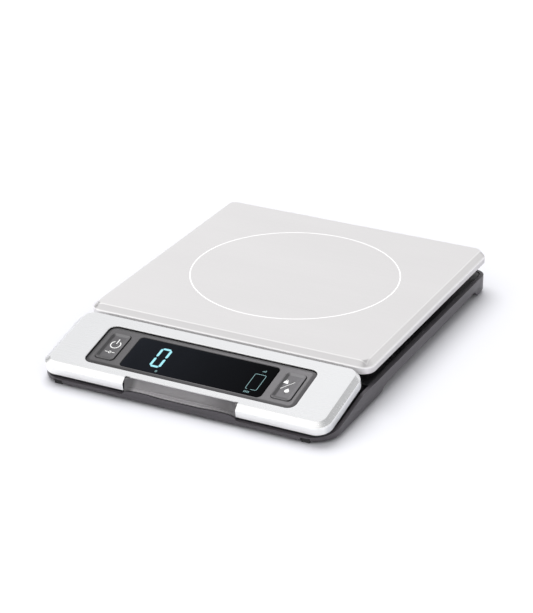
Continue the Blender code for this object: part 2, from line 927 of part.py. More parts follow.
def make_insert_panel(plane):
    edge = GAP
    panel = add_box(
        "insert_panel",
        (-WINDOW_HALF_WIDTH + edge, -WINDOW_FRONT_S + edge, -0.0015),
        (WINDOW_HALF_WIDTH - edge, -WINDOW_BACK_S - edge, -0.00035),
        PANEL_PLASTIC,
        plane,
        radius=WINDOW_CORNER - edge,
    )
    flange = add_box(
        "insert_flange",
        (-WINDOW_HALF_WIDTH - 0.003, -WINDOW_FRONT_S - 0.0025, -0.0021),
        (WINDOW_HALF_WIDTH + 0.003, -WINDOW_BACK_S + 0.0025, -SHEET - GAP),
        parent=plane,
        radius=0.004,
    )
    unite(panel, flange)
    opening = add_box(
        "lens_opening",
        (-LENS_HALF_WIDTH, -LENS_FRONT_S, -0.01),
        (LENS_HALF_WIDTH, -LENS_BACK_S, 0.01),
        parent=plane,
        radius=LENS_CORNER,
        segments=4,
    )
    cut(panel, opening)
    for side, word in ((-1, "left"), (1, "right")):
        cut(panel, key_opening(f"key_opening_{word}", side, GAP, -0.01, 0.01, plane))
    return panel


def make_display(plane):
    add_box(
        "display_lens",
        (-LENS_HALF_WIDTH + GAP, -LENS_FRONT_S + GAP, -0.0020),
        (LENS_HALF_WIDTH - GAP, -LENS_BACK_S - GAP, -0.0005),
        LENS,
        plane,
        radius=LENS_CORNER - GAP,
        segments=4,
    )
    add_box(
        "lcd_module", (-0.046, -0.0495, -0.0046), (0.046, -0.0210, -0.0023), DARK_PLASTIC, plane
    )
    add_box("head_pcb", (-0.072, -0.0505, -0.0060), (0.072, -0.0200, -0.0050), BOARD, plane)


def make_key(name, word, side, plane):
    """A key cap with a dished top, a flange that holds it under the panel, and its switch."""
    half = KEY_WIDTH / 2
    bm = box_bmesh((-half, -KEY_FRONT_S, -0.0022), (half, -KEY_BACK_S, 0.0003))
    round_upright(bm, KEY_CORNER, 3)
    top = [face for face in bm.faces if face.normal.z > 0.9]
    bmesh.ops.inset_region(bm, faces=top, thickness=0.0004, depth=0.0, use_even_offset=True)
    bmesh.ops.inset_region(bm, faces=top, thickness=KEY_DISH_RUN, depth=0.0, use_even_offset=True)
    for vertex in top[0].verts:
        vertex.co.z -= KEY_DISH_DEPTH
    key = add_object(name, mesh_from(name, bm), KEY_PLASTIC, plane)
    key.location = (side * KEY_CENTRE_X, 0.0, 0.0)
    flange = add_box(
        f"{name}_flange",
        (-half - 0.0012, -KEY_FRONT_S - 0.0012, -0.0030),
        (half + 0.0012, -KEY_BACK_S + 0.0012, -0.0021 - GAP),
        parent=key,
    )
    neck = add_box(
        f"{name}_neck",
        (-half + 0.0014, -KEY_FRONT_S + 0.0014, -0.0028),
        (half - 0.0014, -KEY_BACK_S - 0.0014, -0.0012),
        parent=key,
    )
    unite(key, neck, flange)

    middle = -(KEY_FRONT_S + KEY_BACK_S) / 2
    centre = side * KEY_CENTRE_X
    switch = add_box(
        f"tact_switch_{word}",
        (centre - 0.003, middle - 0.003, -0.0047),
        (centre + 0.003, middle + 0.003, -0.0041),
        DARK_PLASTIC,
        plane,
    )
    plunger = add_cylinder(
        f"switch_plunger_{word}", (centre, middle, -0.0042), 0.0015, 0.0008, parent=plane, sides=16
    )
    unite(switch, plunger)


def make_shell_band(plane):
    """The shell's rim in the head plane: a wall inside the steel cover and a band just below it."""
    low = -HEAD_RIM - GAP - SHELL_BAND
    wall = add_box(
        "shell_rim_wall",
        (-0.0983, -HEAD_FRONT_S + 0.0012, low + 0.0001),
        (0.0983, -HEAD_BACK_S - 0.0012, -0.0042),
        parent=plane,
        radius=0.0088,
        segments=7,
    )
    band = add_box(
        "shell_band",
        (-HEAD_HALF_WIDTH + BEZEL_INSET, -HEAD_FRONT_S + BEZEL_INSET, low),
        (HEAD_HALF_WIDTH - BEZEL_INSET, -HEAD_BACK_S - BEZEL_INSET, low + SHELL_BAND),
        parent=plane,
        radius=HEAD_CORNER - BEZEL_INSET,
        segments=7,
    )
    middle = add_box(
        "shell_rim_middle",
        (-0.0970, -HEAD_FRONT_S + 0.0026, -0.02),
        (0.0970, -HEAD_BACK_S - 0.0026, 0.01),
        parent=plane,
        radius=0.0074,
        segments=7,
    )
    unite(wall, band)
    cut(wall, middle)
    return wall


def make_lower_shell(plane):
    """The head's moulded underside: a tray with a flat bottom and a top that follows the slope."""
    top = HEAD_PLANE_Z
    shell = add_box(
        "head_lower_shell",
        (-SHELL_HALF_WIDTH, SHELL_FRONT, SHELL_BOTTOM),
        (SHELL_HALF_WIDTH, SHELL_BACK, top),
        DARK_PLASTIC,
        radius=0.0085,
    )
    wall = SHELL_WALL
    hollow_low = SHELL_BOTTOM + SHELL_FLOOR
    hollow = add_box(
        "shell_hollow",
        (-SHELL_HALF_WIDTH + wall, SHELL_FRONT + wall, hollow_low),
        (SHELL_HALF_WIDTH - wall, SHELL_BACK - wall, top + CUT_MARGIN),
        radius=0.0071,
    )
    cut(shell, hollow)
    middle_floor = add_box(
        "shell_middle_floor",
        (-0.0416, SHELL_FRONT + wall / 2, SHELL_BOTTOM + wall / 2),
        (0.0416, SHELL_BACK - wall / 2, SHELL_MIDDLE_BOTTOM + wall),
    )
    unite(shell, middle_floor)
    tunnel = add_box(
        "shell_tunnel",
        (-0.0400, SHELL_FRONT - CUT_MARGIN, 0.0),
        (0.0400, SHELL_BACK + CUT_MARGIN, SHELL_MIDDLE_BOTTOM),
    )
    scoop_room = add_box(
        "scoop_room",
        (-NOTCH_HALF_WIDTH - 0.0006, SHELL_FRONT - CUT_MARGIN, 0.0),
        (NOTCH_HALF_WIDTH + 0.0006, SCOOP_BACK + 0.0004, 0.05),
    )
    under_bezel = add_box(
        "shell_envelope",
        (-0.0984, -HEAD_FRONT_S + 0.0011, -0.05),
        (0.0984, -HEAD_BACK_S - 0.0011, -0.0040),
        parent=plane,
        radius=0.0090,
        segments=7,
    )
    boolean(shell, under_bezel, "INTERSECT")
    unite(shell, make_shell_band(plane))
    cut(shell, tunnel, scoop_room)
    for side in (-1, 1):
        doorway = add_box(
            f"arm_doorway_{side}",
            (side * ARM_X - 0.0067, SHELL_BACK - 0.004, ARM_BOTTOM - GAP),
            (side * ARM_X + 0.0067, SHELL_BACK + CUT_MARGIN, ARM_BOTTOM + ARM_THICKNESS + GAP),
        )
        cut(shell, doorway)
        for y in (-0.1215, -0.0850):
            name = f"shell_post_{side}_{'front' if y < -0.1 else 'back'}"
            post = add_cylinder(
                name, (side * 0.0780, y, SHELL_BOTTOM + 0.0155), 0.0025, 0.030, sides=12
            )
            post_trim = add_box(
                f"{name}_trim", (-0.2, -0.1, -0.0024), (0.2, 0.05, 0.05), parent=plane
            )
            cut(post, post_trim)
            unite(shell, post)
    cable_door = add_box(
        "cable_doorway",
        (-0.0090, SHELL_BACK - 0.004, 0.0098),
        (0.0090, SHELL_BACK + CUT_MARGIN, 0.0116),
    )
    cut(shell, cable_door)
    return shell


def dish_scale(x):
    """How much of the full dish section is left at a distance from the middle."""
    over = (abs(x) - DISH_FLAT_HALF) / (DISH_HALF_WIDTH - DISH_FLAT_HALF)
    if over <= 0.0:
        return 1.0
    return math.sqrt(max(1.0 - over ** 2, 0.0))


def make_dish_cutter(sides=26):
    """The finger dish: an elliptical section that closes in a round sweep at both ends."""
    ends = (0.998, 0.97, 0.91, 0.82, 0.69, 0.53, 0.36, 0.18)
    reach = DISH_HALF_WIDTH - DISH_FLAT_HALF
    right = [DISH_FLAT_HALF + reach * part for part in ends]
    stations = [-x for x in right] + [-DISH_FLAT_HALF, 0.0, DISH_FLAT_HALF] + right[::-1]
    bm = bmesh.new()
    rings = []
    for x in stations:
        scale = dish_scale(x)
        ring = []
        for i in range(sides):
            angle = 2 * math.pi * i / sides
            y = DISH_CENTRE_Y + DISH_REACH * scale * math.cos(angle)
            z = DISH_CENTRE_Z + DISH_DEPTH * scale * math.sin(angle)
            ring.append(bm.verts.new((x, y, z)))
        rings.append(ring)
    for first, second in zip(rings, rings[1:]):
        for i in range(sides):
            k = (i + 1) % sides
            bm.faces.new((first[i], first[k], second[k], second[i]))
    bm.faces.new(rings[0])
    bm.faces.new(rings[-1])
    return add_object("scoop_dish", mesh_from("scoop_dish", bm, smooth=True))


def make_finger_scoop(plane):
    """The moulded finger recess: a light dish that rises to the back under the steel cover."""
    half = NOTCH_HALF_WIDTH - GAP
    scoop = add_box(
        "finger_scoop",
        (-half, SCOOP_FRONT, SCOOP_BOTTOM),
        (half, SCOOP_BACK, 0.0180),
        PANEL_PLASTIC,
    )
    slope = add_box(
        "scoop_slope_cutter", (-0.2, -0.1, -0.0011), (0.2, 0.05, 0.05), parent=plane
    )
    flange_room = add_box(
        "scoop_flange_cutter",
        (-0.2, -WINDOW_FRONT_S - 0.0025 - GAP, -0.0024),
        (0.2, 0.05, 0.05),
        parent=plane,
    )
    cut(scoop, slope, flange_room, make_dish_cutter())
    return scoop


def make_slide_arm(side, word):
    half = ARM_WIDTH / 2
    x = side * ARM_X
    top = ARM_BOTTOM + ARM_THICKNESS
    arm = add_box(
        f"slide_arm_{word}",
        (x - half, ARM_FRONT, ARM_BOTTOM),
        (x + half, ARM_BACK, top),
        ARM_STEEL,
        radius=0.0015,
        segments=2,
    )
    stop = add_box(
        f"arm_stop_{word}",
        (x - 0.002, ARM_BACK - 0.002, top - 0.001),
        (x + 0.002, ARM_BACK, RAIL_TOP - GAP),
    )
    unite(arm, stop)
    return arm


def make_arm_screws(shell):
    places = [(side * ARM_X, y) for side in (-1, 1) for y in (-0.1100, -0.0800)]
    for i, (x, y) in enumerate(places):
        hole = add_cylinder(f"arm_hole_{i + 1}", (x, y, 0.0095), 0.0017, 0.02, sides=12)
        cut(shell, hole)
        arm = bpy.data.objects["slide_arm_left" if x < 0.0 else "slide_arm_right"]
        cut(arm, hole)
        screw(
            f"arm_screw_{i + 1}",
            (x, y, ARM_BOTTOM + ARM_THICKNESS + GAP + 0.0012),
            0.0034,
            0.0028,
            0.0012,
            0.0013,
            up=False,
        )


def make_ribbon(folds=13):
    """The accordion-folded flat cable, from the board's socket to the head's socket."""
    start, end = -0.0425, -0.0768
    first_fold, last_fold = -0.0460, -0.0712
    low, high = 0.0056, 0.0106
    half_thick = 0.00012
    pitch = (last_fold - first_fold) / (2 * folds)
    points = [(start, high), (first_fold + 0.0004, high)]
    for i in range(1, 2 * folds):
        points.append((first_fold + i * pitch, low if i % 2 else high))
    points += [(last_fold, high), (end, high)]
    outline = [(y, z + half_thick) for y, z in points]
    outline += [(y, z - half_thick) for y, z in reversed(points)]
    bm = bmesh.new()
    verts = [bm.verts.new((-0.008, y, z)) for y, z in outline]
    face = bm.faces.new(verts)
    moved = bmesh.ops.extrude_face_region(bm, geom=[face])
    for item in moved["geom"]:
        if isinstance(item, bmesh.types.BMVert):
            item.co.x = 0.008
    add_object("ribbon_cable", mesh_from("ribbon_cable", bm), CABLE)
    add_box(
        "head_ribbon_socket",
        (-0.0085, end - 0.0046, 0.0094),
        (0.0085, end - GAP, 0.0122),
        PALE_PLASTIC,
    )


def main():
    make_platform()
    make_weighing_frame()
    make_load_cell()
    make_base_tub()
    make_feet()
    make_base_deck()
    make_guide_rail(-1, "left")
    make_guide_rail(1, "right")
    make_main_board()
    make_battery_pack()
    make_battery_door()
    plane = make_head_plane()
    make_head_bezel(plane)
    make_insert_panel(plane)
    make_display(plane)
    make_key("zero_button", "left", -1, plane)
    make_key("unit_button", "right", 1, plane)
    shell = make_lower_shell(plane)
    make_finger_scoop(plane)
    make_slide_arm(-1, "left")
    make_slide_arm(1, "right")
    make_arm_screws(shell)
    make_ribbon()


main()
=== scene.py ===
"""Looks for the flat digital scale with a pull-out display head. Metres, same frame as the CAD."""

import json
import math

import bmesh
import bpy
from mathutils import Matrix, Vector


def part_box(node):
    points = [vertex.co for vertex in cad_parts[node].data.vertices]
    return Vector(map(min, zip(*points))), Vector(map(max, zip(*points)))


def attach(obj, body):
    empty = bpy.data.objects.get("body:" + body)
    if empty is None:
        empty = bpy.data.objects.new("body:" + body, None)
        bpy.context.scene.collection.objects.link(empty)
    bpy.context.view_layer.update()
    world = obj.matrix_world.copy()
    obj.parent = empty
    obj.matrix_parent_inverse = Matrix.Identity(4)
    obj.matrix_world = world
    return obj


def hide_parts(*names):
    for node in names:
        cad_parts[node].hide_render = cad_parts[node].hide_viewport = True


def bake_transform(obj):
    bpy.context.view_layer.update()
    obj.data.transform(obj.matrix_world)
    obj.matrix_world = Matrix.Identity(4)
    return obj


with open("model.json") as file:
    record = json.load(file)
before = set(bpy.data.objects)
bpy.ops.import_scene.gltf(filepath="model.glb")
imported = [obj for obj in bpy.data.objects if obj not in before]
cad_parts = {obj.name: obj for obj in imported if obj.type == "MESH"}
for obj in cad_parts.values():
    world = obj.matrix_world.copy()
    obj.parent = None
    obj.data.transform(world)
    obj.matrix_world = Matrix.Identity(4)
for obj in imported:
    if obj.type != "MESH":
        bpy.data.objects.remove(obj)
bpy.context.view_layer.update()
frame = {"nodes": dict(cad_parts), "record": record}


NODES = frame["nodes"]
BODY_OF = {
    node: body
    for body, members in frame["record"]["behaviour"]["bodies"].items()
    for node in members
}
SLOT_OF = {part["node"]: part["material_slot"] for part in frame["record"]["subparts"]}

# Places that the CAD fixes -----------------------------------------------------------------------

PLATFORM_LOW, PLATFORM_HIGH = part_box("platform_tray")
PLATFORM_Y = (PLATFORM_LOW.y + PLATFORM_HIGH.y) / 2
PLATFORM_RUN = 0.0038  # how far in and down the platform's chamfer goes
TOP = PLATFORM_HIGH.z
SHEET = 0.0008
CIRCLE_RADIUS = 0.0702
CIRCLE_SHIFT = 0.0014  # the printed circle is a little behind the platform's middle

# The head's shapes are drawn flat, with x to the right, y to the rear and z square to its face.
# HEAD puts them in place.
TILT = math.radians(12.47)
HEAD = Matrix.Translation((0.0, PLATFORM_LOW.y, TOP - 0.0004)) @ Matrix.Rotation(TILT, 4, "X")
WINDOW_X = 0.0734
WINDOW_FRONT, WINDOW_REAR = -0.0542, -0.0150
PANEL_GAP = 0.0003
PANEL_CORNER = 0.0052
LENS_FACE = -0.0005
KEY_X, KEY_Y = 0.0616, -0.03505
KEY_HALF_X, KEY_HALF_Y = 0.0066, 0.01295
KEY_DISH = ((0.0004, 0.0003), (0.0023, -0.00034), (0.0050, -0.00052), (0.0065, -0.00052))
LENS_PRINT, KEY_PRINT = 0.00003, 0.00008  # how thick the marks are
NOTCH_X = 0.0392

# The (x, z) of the base's front rim, on each side of its middle. Above the knee it is flattened.
RIM_KNEE = 0.0056
RIM_SQUASH = 0.45
RIM_PROFILE = (
    (0.0130, 0.0062),
    (0.0180, 0.0067),
    (0.0228, 0.0074),
    (0.0300, 0.0074),
    (0.0342, 0.0070),
    (0.0378, 0.0058),
    (0.0402, 0.0034),
)
SHARP = 32.0  # an edge stays sharp where its faces turn by more degrees than this

# Shader helpers ----------------------------------------------------------------------------------


class Shader:
    """The node tree of a material or a world, built one node at a time."""

    def __init__(self, name, world=False):
        store = bpy.data.worlds if world else bpy.data.materials
        self.material = store.new(name)
        self.material.use_nodes = True
        self.tree = self.material.node_tree
        self.main = self.tree.nodes["Background" if world else "Principled BSDF"]

    def add(self, kind, **settings):
        node = self.tree.nodes.new(kind)
        for key, value in settings.items():
            setattr(node, key, value)
        return node

    def link(self, source, target):
        self.tree.links.new(source, target)

    def put(self, socket, value):
        """A number or colour is set; an output is linked."""
        if isinstance(value, bpy.types.NodeSocket):
            self.link(value, socket)
        else:
            socket.default_value = value

    def coords(self, scale=(1.0, 1.0, 1.0)):
        place = self.add("ShaderNodeTexCoord")
        mapping = self.add("ShaderNodeMapping")
        mapping.inputs["Scale"].default_value = scale
        self.link(place.outputs["Object"], mapping.inputs["Vector"])
        return mapping.outputs["Vector"]

    def noise(self, vector, scale, detail=3.0, rough=0.55):
        node = self.add("ShaderNodeTexNoise")
        node.inputs["Scale"].default_value = scale
        node.inputs["Detail"].default_value = detail
        node.inputs["Roughness"].default_value = rough
        self.link(vector, node.inputs["Vector"])
        return node.outputs["Fac"]

    def split(self):
        """The place in the row frame, as separate X, Y and Z."""
        place = self.add("ShaderNodeTexCoord")
        axes = self.add("ShaderNodeSeparateXYZ")
        self.link(place.outputs["Object"], axes.inputs[0])
        return axes.outputs

    def remap(self, value, low, high, out_low, out_high, curve="LINEAR"):
        node = self.add("ShaderNodeMapRange", interpolation_type=curve)
        node.inputs["From Min"].default_value = low
        node.inputs["From Max"].default_value = high
        node.inputs["To Min"].default_value = out_low
        node.inputs["To Max"].default_value = out_high
        self.link(value, node.inputs["Value"])
        return node.outputs["Result"]

    def mix(self, factor, first, second):
        node = self.add("ShaderNodeMix", data_type="RGBA")
        self.put(node.inputs[0], factor)
        self.put(node.inputs[6], first)
        self.put(node.inputs[7], second)
        return node.outputs[2]

    def darken(self, tone, amount):
        return self.mix(amount, tone, BLACK)

    def math(self, operation, first, second=0.0):
        node = self.add("ShaderNodeMath", operation=operation)
        self.put(node.inputs[0], first)
        self.put(node.inputs[1], second)
        return node.outputs[0]

    def distance(self, value, middle):
        return self.math("ABSOLUTE", self.math("SUBTRACT", value, middle))

    def facing(self, axis, low, high):
        """0 to 1 as the normal's part along one axis of the row frame goes from low to high."""
        normal = self.add("ShaderNodeSeparateXYZ")
        self.link(self.add("ShaderNodeNewGeometry").outputs["Normal"], normal.inputs[0])
        return self.remap(normal.outputs[axis], low, high, 0.0, 1.0)

    def bump(self, height, strength, distance):
        node = self.add("ShaderNodeBump")
        node.inputs["Strength"].default_value = strength
        node.inputs["Distance"].default_value = distance
        self.link(height, node.inputs["Height"])
        self.link(node.outputs["Normal"], self.main.inputs["Normal"])

    def set(self, **values):
        for key, value in values.items():
            self.put(self.main.inputs[key.replace("_", " ")], value)

    def linked(self, name):
        """The output that feeds one of the shader's sockets."""
        return self.main.inputs[name].links[0].from_socket


def colour(r, g, b):
    return (r, g, b, 1.0)


BLACK = colour(0.0, 0.0, 0.0)
WHITE = colour(1.0, 1.0, 1.0)


def shade(base, factor):
    return colour(*(min(1.0, channel * factor) for channel in base[:3]))


# Materials ---------------------------------------------------------------------------------------


def brushed_metal(name, base, rough, grain=(14.0, 900.0, 900.0), streak=0.016, depth=0.000007):
    """Satin metal with fine streaks along X, and broad faint clouding."""
    s = Shader(name)
    fine = s.noise(s.coords(grain), 1.0, detail=5.0, rough=0.6)
    cloud = s.noise(s.coords((9.0, 30.0, 30.0)), 1.0, detail=2.0)
    level = s.remap(s.math("ADD", fine, cloud), 0.7, 1.3, 0.0, 1.0)
    s.set(
        Base_Color=s.mix(level, shade(base, 1.0 - streak), shade(base, 1.0 + streak)),
        Metallic=1.0,
        Roughness=s.remap(fine, 0.3, 0.7, rough - 0.01, rough + 0.02),
    )
    s.bump(fine, 0.25, depth)
    return s


def moulded_plastic(name, base, rough, grain=2600.0, depth=0.00004, painted_left_shade=0.0):
    """Moulded plastic with spark texture and slight blotches, and painted shade that darkens it
    toward the left by the given amount.
    """
    s = Shader(name)
    place = s.coords()
    spark = s.noise(place, grain, detail=2.0)
    blotch = s.noise(place, 38.0, detail=4.0)
    tone = s.mix(s.remap(blotch, 0.3, 0.7, 0.0, 1.0), shade(base, 0.93), shade(base, 1.07))
    # Painted shade: darker toward the left.
    if painted_left_shade > 0.0:
        side = s.remap(s.split()["X"], -0.060, 0.065, painted_left_shade, 0.0)
        tone = s.darken(tone, side)
    s.set(
        Base_Color=tone,
        Roughness=s.remap(s.math("ADD", spark, blotch), 0.6, 1.4, rough - 0.06, rough + 0.07),
    )
    s.bump(spark, 0.25, depth)
    return s


def panel_plastic():
    """The insert's grey plastic, with painted shade in a band along its outer edge and toward the
    left.
    """
    s = moulded_plastic("panel_plastic", colour(0.132, 0.127, 0.134), 0.36, depth=0.00003, painted_left_shade=0.5)
    axes = s.split()
    corner = PANEL_CORNER - PANEL_GAP
    half_x = WINDOW_X - PANEL_GAP - corner
    half_y = (WINDOW_REAR - WINDOW_FRONT) / 2 - PANEL_GAP - corner
    along = s.math("SUBTRACT", axes["Y"], HEAD.translation.y)
    along = s.math("MULTIPLY", along, 1.0 / math.cos(TILT))
    away_x = s.math("ABSOLUTE", axes["X"])
    away_y = s.distance(along, (WINDOW_REAR + WINDOW_FRONT) / 2)
    past_x = s.math("MAXIMUM", s.math("SUBTRACT", away_x, half_x), 0.0)
    past_y = s.math("MAXIMUM", s.math("SUBTRACT", away_y, half_y), 0.0)
    squares = s.math("ADD", s.math("MULTIPLY", past_x, past_x), s.math("MULTIPLY", past_y, past_y))
    # Painted shade along the outer edge, where the shoulder falls into shade.
    band = s.remap(s.math("SQRT", squares), corner - 0.0030, corner - 0.0022, 0.0, 0.48)
    s.set(Base_Color=s.darken(s.linked("Base Color"), band))
    return s


def recess_plastic():
    """The finger recess's plastic, with painted shade darkening it toward its ends."""
    s = moulded_plastic("recess_plastic", colour(0.330, 0.318, 0.328), 0.38, depth=0.00003)
    x = s.split()["X"]
    # Painted shade toward both ends of the recess.
    left = s.remap(x, -0.0350, -0.0318, 0.62, 0.0)
    right = s.remap(x, 0.012, 0.036, 0.0, 0.62)
    s.set(Base_Color=s.darken(s.linked("Base Color"), s.math("MAXIMUM", left, right)))
    return s


def key_plastic():
    """The keys' plastic, with painted shade on the dish's left and front slopes, painted light on
    its rear one, and painted shade toward the left.
    """
    s = moulded_plastic("key_plastic", colour(0.112, 0.108, 0.115), 0.33, depth=0.00003, painted_left_shade=0.42)
    level = -math.sin(TILT)
    left_slope = s.facing("X", 0.06, 0.30)
    front_slope = s.facing("Y", level + 0.06, level + 0.30)
    rear_slope = s.facing("Y", level - 0.06, level - 0.26)
    # Painted light on the dish's rear slope, painted shade on its left and front slopes.
    pale = s.math("MULTIPLY", rear_slope, 0.10)
    dark = s.math("MULTIPLY", s.math("MAXIMUM", left_slope, front_slope), 0.60)
    tone = s.mix(pale, s.linked("Base Color"), colour(0.8, 0.8, 0.8))
    s.set(Base_Color=s.darken(tone, dark))
    return s


def rough_walls(s, height, low, high, rough):
    """Gives the pressed walls a coarser satin, and paints shade on those that face right."""
    wall = s.remap(height, low, high, 1.0, 0.0)
    # Painted shade on walls that face right.
    painted_wall_shade = s.math("MULTIPLY", wall, s.math("MULTIPLY", s.facing("X", 0.7, 0.9), 0.20))
    s.set(
        Base_Color=s.darken(s.linked("Base Color"), painted_wall_shade),
        Roughness=s.math("ADD", s.linked("Roughness"), s.math("MULTIPLY", wall, rough)),
    )


def front_hem(s, height):
    """The front wall's blasted band, which is less metallic than the rest of the sheet."""
    band = s.remap(height, TOP - 0.0044, TOP - 0.0036, 0.65, 0.0)
    return s.math("MULTIPLY", s.facing("Y", -0.75, -0.9), band)


def printed_circle(s, axes):
    """1 on the thin circle printed on the platform's top, and 0 elsewhere."""
    across = s.math("POWER", axes["X"], 2.0)
    along = s.math("POWER", s.math("SUBTRACT", axes["Y"], PLATFORM_Y + CIRCLE_SHIFT), 2.0)
    radius = s.math("SQRT", s.math("ADD", across, along))
    line = s.remap(s.distance(radius, CIRCLE_RADIUS), 0.00026, 0.00044, 0.85, 0.0)
    on_top = s.math("GREATER_THAN", axes["Z"], TOP - 0.0002)
    return s.math("MULTIPLY", line, on_top)


def edge_highlight_lines(s, axes):
    """1 along the two lines where the platform's chamfer starts and ends, which take painted
    highlights.
    """
    half = PLATFORM_HIGH.x - PLATFORM_RUN
    side = s.math("SUBTRACT", s.math("ABSOLUTE", axes["X"]), half)
    end = s.math("SUBTRACT", s.distance(axes["Y"], PLATFORM_Y), half)
    crease = s.math("ABSOLUTE", s.math("MAXIMUM", side, end))
    crease = s.remap(crease, 0.00015, 0.00055, 1.0, 0.0)
    knee = s.remap(s.distance(axes["Z"], TOP - PLATFORM_RUN), 0.0002, 0.0008, 1.0, 0.0)
    return s.math("MAXIMUM", crease, knee)


def steel_platform():
    """Brushed sheet with a printed circle; its front chamfer has painted shade and its pressed
    edges have painted highlights.
    """
    s = brushed_metal("platform_steel", colour(0.82, 0.806, 0.811), 0.30)
    axes = s.split()
    print_mask = printed_circle(s, axes)
    # Painted shade on the front chamfer.
    chamfer_shade_amount = s.remap(axes["Z"], TOP - 0.0034, TOP - 0.0042, 0.13, 0.0)
    slope = s.math("MULTIPLY", s.facing("Y", -0.55, -0.68), chamfer_shade_amount)
    sheet = s.darken(s.linked("Base Color"), slope)
    # Painted highlights along the chamfer's edges.
    sheet = s.mix(edge_highlight_lines(s, axes), sheet, colour(0.985, 0.975, 0.975))
    bare = s.remap(print_mask, 0.0, 1.0, 1.0, 0.0)
    s.set(
        Base_Color=s.mix(print_mask, sheet, colour(0.93, 0.93, 0.93)),
        Metallic=s.math("SUBTRACT", bare, front_hem(s, axes["Z"])),
    )
    rough_walls(s, axes["Z"], TOP - 0.0056, TOP - 0.0034, 0.24)
    return s


def steel_head():
    """Smoother sheet with painted shade making it a little duller to the left; its front chamfer
    and wall have painted highlights and are brightest.
    """
    s = brushed_metal("head_steel", colour(0.93, 0.935, 0.95), 0.26, streak=0.008, depth=0.000003)
    axes = s.split()
    # Painted shade: the sheet darkens toward the left.
    grain = s.darken(s.linked("Base Color"), s.remap(axes["X"], -0.095, 0.085, 0.09, 0.0))
    # Painted highlight: front-facing chamfer and wall are painted near white and made less
    # metallic.
    front = s.facing("Y", -0.45, -0.65)
    s.set(
        Base_Color=s.mix(front, grain, colour(1.0, 1.0, 0.995)),
        Metallic=s.math("SUBTRACT", 1.0, s.math("MULTIPLY", front, 0.3)),
    )
    rise = s.math("SUBTRACT", axes["Z"], HEAD.translation.z)
    fall = s.math("SUBTRACT", axes["Y"], HEAD.translation.y)
    rise = s.math("MULTIPLY", rise, math.cos(TILT))
    fall = s.math("MULTIPLY", fall, math.sin(TILT))
    rough_walls(s, s.math("SUBTRACT", rise, fall), -0.0040, -0.0022, 0.24)
    return s


def circuit_board():
    """Green solder mask with raised tracks."""
    s = Shader("circuit_board")
    place = s.coords()
    lines = s.add("ShaderNodeTexVoronoi", feature="DISTANCE_TO_EDGE", distance="MANHATTAN")
    lines.inputs["Scale"].default_value = 260.0
    s.link(place, lines.inputs["Vector"])
    track = s.remap(lines.outputs["Distance"], 0.02, 0.06, 1.0, 0.0)
    mask = s.mix(track, colour(0.015, 0.11, 0.05), colour(0.05, 0.24, 0.11))
    s.set(Base_Color=mask, Roughness=s.remap(track, 0.0, 1.0, 0.42, 0.30))
    s.bump(track, 0.3, 0.00004)
    return s


def smoked_lens():
    """Polished black acrylic with faint smears, and painted light making it a shade lighter at the
    left.
    """
    s = Shader("smoked_lens")
    smear = s.noise(s.coords((60.0, 25.0, 25.0)), 1.0, detail=4.0)
    # Painted light: the tint is lighter at the left than at the right.
    tint = s.mix(
        s.remap(s.split()["X"], -0.050, 0.050, 0.0, 1.0),
        colour(0.0088, 0.0102, 0.0138),
        colour(0.0006, 0.0007, 0.0011),
    )
    s.set(
        Base_Color=s.darken(tint, s.remap(smear, 0.3, 0.7, 0.0, 0.22)),
        Roughness=s.remap(smear, 0.35, 0.65, 0.10, 0.17),
        Specular_IOR_Level=0.02,
    )
    return s


def ink(name, base, glow=0.0):
    """Printed ink, or lit segments where it glows."""
    s = Shader(name)
    speck = s.noise(s.coords(), 5200.0, detail=2.0)
    tone = s.mix(s.remap(speck, 0.35, 0.65, 0.0, 1.0), shade(base, 0.86), base)
    if glow > 0.0:
        s.set(Base_Color=shade(base, 0.1), Emission_Color=tone, Emission_Strength=glow)
    else:
        s.set(Base_Color=tone)
    s.set(Roughness=s.remap(speck, 0.3, 0.7, 0.42, 0.55))
    return s


def cell_jacket():
    """A battery cell's printed can: dark in the middle, with a copper-coloured band at each end."""
    s = Shader("cell_jacket")
    low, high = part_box("battery_cell_1")
    away = s.distance(s.split()["Y"], (low.y + high.y) / 2)
    band = s.remap(away, 0.0140, 0.0142, 0.0, 1.0)
    scuff = s.noise(s.coords(), 900.0, detail=3.0)
    s.set(
        Base_Color=s.mix(band, colour(0.05, 0.06, 0.08), colour(0.60, 0.42, 0.20)),
        Metallic=0.8,
        Roughness=s.remap(scuff, 0.3, 0.7, 0.22, 0.38),
    )
    return s


def ribbon_jacket():
    """Grey flat cable with its wires showing as fine ridges along Y, one edge marked red."""
    s = Shader("ribbon_jacket")
    axes = s.split()
    wave = s.math("SINE", s.math("MULTIPLY", axes["X"], 2.0 * math.pi / 0.001))
    groove = s.remap(wave, -1.0, 1.0, 0.0, 1.0)
    speck = s.noise(s.coords(), 1800.0, detail=2.0)
    grey = s.mix(groove, colour(0.17, 0.17, 0.18), colour(0.27, 0.27, 0.28))
    edge = s.math("LESS_THAN", axes["X"], -0.0070)
    s.set(
        Base_Color=s.mix(edge, grey, colour(0.24, 0.03, 0.03)),
        Roughness=s.remap(speck, 0.3, 0.7, 0.40, 0.55),
    )
    s.bump(groove, 0.6, 0.0002)
    return s


STEEL_PLATFORM = steel_platform().material
STEEL_HEAD = steel_head().material
PLATED = brushed_metal(
    "plated_steel", colour(0.56, 0.56, 0.55), 0.33, grain=(60.0, 60.0, 700.0), streak=0.10
).material
ALUMINIUM = brushed_metal(
    "milled_aluminium", colour(0.70, 0.71, 0.72), 0.36, grain=(40.0, 700.0, 700.0), streak=0.06
).material
PANEL = panel_plastic().material
KEY = key_plastic().material
SCOOP = recess_plastic().material
LENS = smoked_lens().material
LIT = ink("lit_segment", colour(0.36, 0.82, 0.92), glow=1.0).material
LIT_DIM = ink("lit_icon", colour(0.30, 0.52, 0.54), glow=0.8).material
PRINT = ink("white_print", colour(0.86, 0.86, 0.85)).material
RIBBON = ribbon_jacket().material

